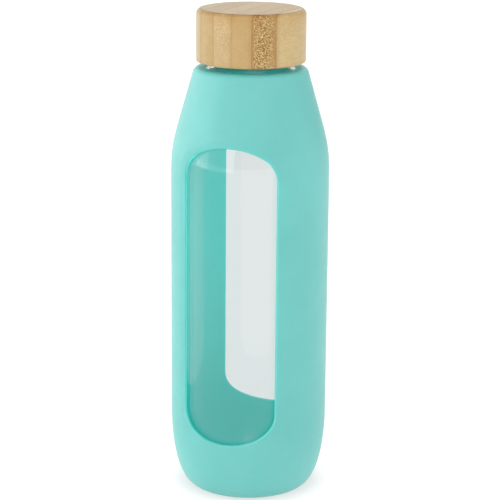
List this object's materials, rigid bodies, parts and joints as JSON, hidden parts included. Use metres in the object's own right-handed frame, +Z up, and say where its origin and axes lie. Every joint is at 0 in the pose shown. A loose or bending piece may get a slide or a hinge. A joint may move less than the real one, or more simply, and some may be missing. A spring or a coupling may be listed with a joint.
{
  "type": "glass water bottle",
  "caption": "Clear glass water bottle in a teal silicone sleeve with two long windows, closed by a round bamboo screw lid.",
  "frame": {"origin": "centre of the flat underside, on the bottle's axis, where the sleeve meets the table", "axes": "+Z up along the bottle's axis, the sleeve's two windows face -Y and +Y"},
  "size_m": [0.0718, 0.0714, 0.2232],
  "materials": {
    "clear_glass": "polished, clear",
    "teal_silicone": "soft matte",
    "bamboo": "sanded satin, laminated strips",
    "white_plastic": "moulded, satin",
    "pale_silicone": "soft matte"
  },
  "bodies": {
    "bottle": {"glass_bottle": "clear_glass", "silicone_sleeve": "teal_silicone"},
    "seal": {"lid_seal_ring": "pale_silicone"},
    "lid": {"bamboo_lid": "bamboo", "lid_thread_insert": "white_plastic"}
  },
  "joints": [
    {"name": "lid_rise", "type": "slide", "parent": "bottle", "child": "seal", "axis": [0, 0, 1], "range_m": [0, 0.0181]},
    {"name": "lid_turn", "type": "hinge", "parent": "seal", "child": "lid", "pos_m": [0, 0, 0.2], "axis": [0, 0, 1], "range_deg": [0, 720]}
  ],
  "couplings": [
    {"joint": "lid_rise", "follows": "lid_turn", "m_per_rad": 0.0014324}
  ]
}
